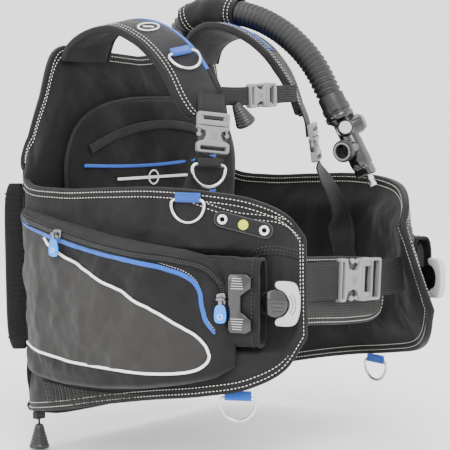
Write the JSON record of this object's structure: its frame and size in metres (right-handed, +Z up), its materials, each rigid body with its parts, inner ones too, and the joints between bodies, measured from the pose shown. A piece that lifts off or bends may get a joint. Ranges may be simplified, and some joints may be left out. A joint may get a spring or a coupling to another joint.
{
  "type": "buoyancy compensator vest",
  "caption": "Jacket-style diving buoyancy vest with side lobes, cargo pockets, shoulder straps, weight handles, inflator hose and a tank band.",
  "frame": {"origin": "on the tank's axis at the middle height of the tank band", "axes": "+X to the wearer's left, the wearer's chest towards -Y, +Z up along the tank's axis"},
  "size_m": [0.5474, 0.6564, 0.6398],
  "materials": {
    "black_nylon": "coated nylon weave",
    "grey_nylon": "woven nylon, charcoal",
    "pad_cloth": "padded mesh cloth",
    "webbing": "woven webbing",
    "blue_webbing": "woven webbing, blue",
    "weight_cloth": "heavy nylon",
    "black_plastic": "moulded, satin",
    "grey_plastic": "moulded, satin",
    "steel": "polished stainless",
    "rubber": "moulded rubber",
    "cord": "braided cord",
    "zip_black": "nylon coil zip",
    "zip_metal": "gunmetal",
    "blue_rubber": "moulded soft plastic, blue"
  },
  "bodies": {
    "root": {"back_shell": "black_nylon", "right_lobe": "black_nylon", "right_cargo_pocket": "black_nylon", "right_shoulder_strap": "grey_nylon", "right_weight_sleeve": "weight_cloth", "left_lobe": "black_nylon", "left_cargo_pocket": "black_nylon", "left_shoulder_strap": "grey_nylon", "left_weight_sleeve": "weight_cloth", "zip_tapes": "zip_black", "weight_latches": "black_plastic", "back_pad": "pad_cloth", "tank_band": "webbing", "cam_buckle_body": "black_plastic", "backplate": "black_plastic", "carry_handle": "black_plastic", "cummerbund": "grey_nylon", "waist_webbing": "webbing", "sternum_webbing": "webbing", "chest_webbing": "webbing", "right_shoulder_buckle_socket": "grey_plastic", "left_shoulder_buckle_socket": "grey_plastic", "sternum_buckle_socket": "grey_plastic", "waist_buckle_socket": "grey_plastic", "ring_loops": "blue_webbing", "knife_plate": "black_plastic", "knife_grommets": "steel", "inflator_body": "black_plastic", "mouthpiece": "black_plastic", "inlet_nipple": "steel", "corrugated_hose": "rubber", "hose_sleeve": "black_nylon", "hose_clamps": "black_plastic", "hose_elbow": "black_plastic", "dump_valves": "black_plastic"},
    "right_weight_pull_body": {"right_weight_pouch": "weight_cloth", "right_weight_handle": "grey_plastic"},
    "left_weight_pull_body": {"left_weight_pouch": "weight_cloth", "left_weight_handle": "grey_plastic"},
    "cam_lever_body": {"cam_buckle_lever": "black_plastic"},
    "right_shoulder_ring_swing_body": {"right_shoulder_ring": "steel"},
    "right_chest_ring_swing_body": {"right_chest_ring": "steel"},
    "right_lobe_ring_swing_body": {"right_lobe_ring": "steel"},
    "left_lobe_ring_swing_body": {"left_lobe_ring": "steel"},
    "right_bottom_ring_swing_body": {"right_bottom_ring": "steel"},
    "left_bottom_ring_swing_body": {"left_bottom_ring": "steel"},
    "right_shoulder_release_body": {"right_shoulder_buckle_plug": "grey_plastic"},
    "left_shoulder_release_body": {"left_shoulder_buckle_plug": "grey_plastic"},
    "sternum_release_body": {"sternum_buckle_plug": "grey_plastic"},
    "waist_release_body": {"waist_buckle_plug": "grey_plastic"},
    "lower_dump_pull_body": {"lower_dump_knob": "rubber", "lower_dump_cord": "cord"},
    "upper_dump_pull_body": {"upper_dump_knob": "rubber"},
    "right_rear_zip_body": {"right_rear_zip_slider": "zip_metal"},
    "right_rear_pull_flip_body": {"right_rear_zip_pull": "blue_rubber"},
    "right_front_zip_body": {"right_front_zip_slider": "zip_metal"},
    "right_front_pull_flip_body": {"right_front_zip_pull": "blue_rubber"},
    "left_rear_zip_body": {"left_rear_zip_slider": "zip_metal"},
    "inflate_press_body": {"inflate_button": "grey_plastic"},
    "deflate_press_body": {"deflate_button": "grey_plastic"}
  },
  "joints": [
    {"name": "right_weight_pull", "type": "slide", "parent": "root", "child": "right_weight_pull_body", "axis": [0.337, -0.9415, 0], "range_m": [0, 0.16]},
    {"name": "left_weight_pull", "type": "slide", "parent": "root", "child": "left_weight_pull_body", "axis": [-0.337, -0.9415, 0], "range_m": [0, 0.16]},
    {"name": "cam_lever", "type": "hinge", "parent": "root", "child": "cam_lever_body", "pos_m": [-0.022, 0.1092, 0], "axis": [0, 0, 1], "range_deg": [0, 130]},
    {"name": "right_shoulder_ring_swing", "type": "hinge", "parent": "root", "child": "right_shoulder_ring_swing_body", "pos_m": [-0.10683, -0.29361, 0.24668], "axis": [-0.9478, 0.2611, -0.1831], "range_deg": [0, 140]},
    {"name": "right_chest_ring_swing", "type": "hinge", "parent": "root", "child": "right_chest_ring_swing_body", "pos_m": [-0.128, -0.36, 0.098], "axis": [-0.8599, 0.5058, 0.0688], "range_deg": [0, 140]},
    {"name": "right_lobe_ring_swing", "type": "hinge", "parent": "root", "child": "right_lobe_ring_swing_body", "pos_m": [-0.21517, -0.39903, 0.058], "axis": [-0.2717, 0.9624, 0], "range_deg": [0, 140]},
    {"name": "left_lobe_ring_swing", "type": "hinge", "parent": "root", "child": "left_lobe_ring_swing_body", "pos_m": [0.21517, -0.39903, 0.058], "axis": [-0.2717, -0.9624, 0], "range_deg": [0, 140]},
    {"name": "right_bottom_ring_swing", "type": "hinge", "parent": "root", "child": "right_bottom_ring_swing_body", "pos_m": [-0.1947, -0.46475, -0.1905], "axis": [-0.4995, 0.8663, 0], "range_deg": [-75, 75]},
    {"name": "left_bottom_ring_swing", "type": "hinge", "parent": "root", "child": "left_bottom_ring_swing_body", "pos_m": [0.21507, -0.39281, -0.2058], "axis": [-0.2439, -0.9698, 0], "range_deg": [-75, 75]},
    {"name": "right_shoulder_release", "type": "slide", "parent": "root", "child": "right_shoulder_release_body", "axis": [0.1701, 0.1, 0.9803], "range_m": [0, 0.03]},
    {"name": "left_shoulder_release", "type": "slide", "parent": "root", "child": "left_shoulder_release_body", "axis": [-0.1199, 0.08, 0.9896], "range_m": [0, 0.03]},
    {"name": "sternum_release", "type": "slide", "parent": "root", "child": "sternum_release_body", "axis": [0.9994, 0.02, 0.03], "range_m": [0, 0.03]},
    {"name": "waist_release", "type": "slide", "parent": "root", "child": "waist_release_body", "axis": [0.998, -0.02, -0.0599], "range_m": [0, 0.03]},
    {"name": "lower_dump_pull", "type": "slide", "parent": "root", "child": "lower_dump_pull_body", "axis": [0, 0, -1], "range_m": [0, 0.012], "stiffness_N_per_m": 600},
    {"name": "upper_dump_pull", "type": "slide", "parent": "root", "child": "upper_dump_pull_body", "axis": [0.5635, -0.1025, -0.8197], "range_m": [0, 0.012], "stiffness_N_per_m": 600},
    {"name": "right_rear_zip", "type": "slide", "parent": "root", "child": "right_rear_zip_body", "axis": [-0.0706, -0.9857, -0.1533], "range_m": [0, 0.05]},
    {"name": "right_rear_pull_flip", "type": "hinge", "parent": "right_rear_zip_body", "child": "right_rear_pull_flip_body", "pos_m": [-0.27114, -0.2128, 0.0076], "axis": [0.0706, 0.9975, 0], "range_deg": [0, 120]},
    {"name": "right_front_zip", "type": "slide", "parent": "root", "child": "right_front_zip_body", "axis": [-0.0642, 0.1664, 0.984], "range_m": [0, 0.012]},
    {"name": "right_front_pull_flip", "type": "hinge", "parent": "right_front_zip_body", "child": "right_front_pull_flip_body", "pos_m": [-0.22375, -0.45978, -0.06288], "axis": [-0.4333, 0.9012, 0], "range_deg": [0, 120]},
    {"name": "left_rear_zip", "type": "slide", "parent": "root", "child": "left_rear_zip_body", "axis": [0.0706, -0.9857, -0.1533], "range_m": [0, 0.05]},
    {"name": "inflate_press", "type": "slide", "parent": "root", "child": "inflate_press_body", "axis": [0.8188, 0.5602, -0.1257], "range_m": [0, 0.004], "stiffness_N_per_m": 900},
    {"name": "deflate_press", "type": "slide", "parent": "root", "child": "deflate_press_body", "axis": [-0.7208, 0.5731, -0.3898], "range_m": [0, 0.004], "stiffness_N_per_m": 900}
  ]
}
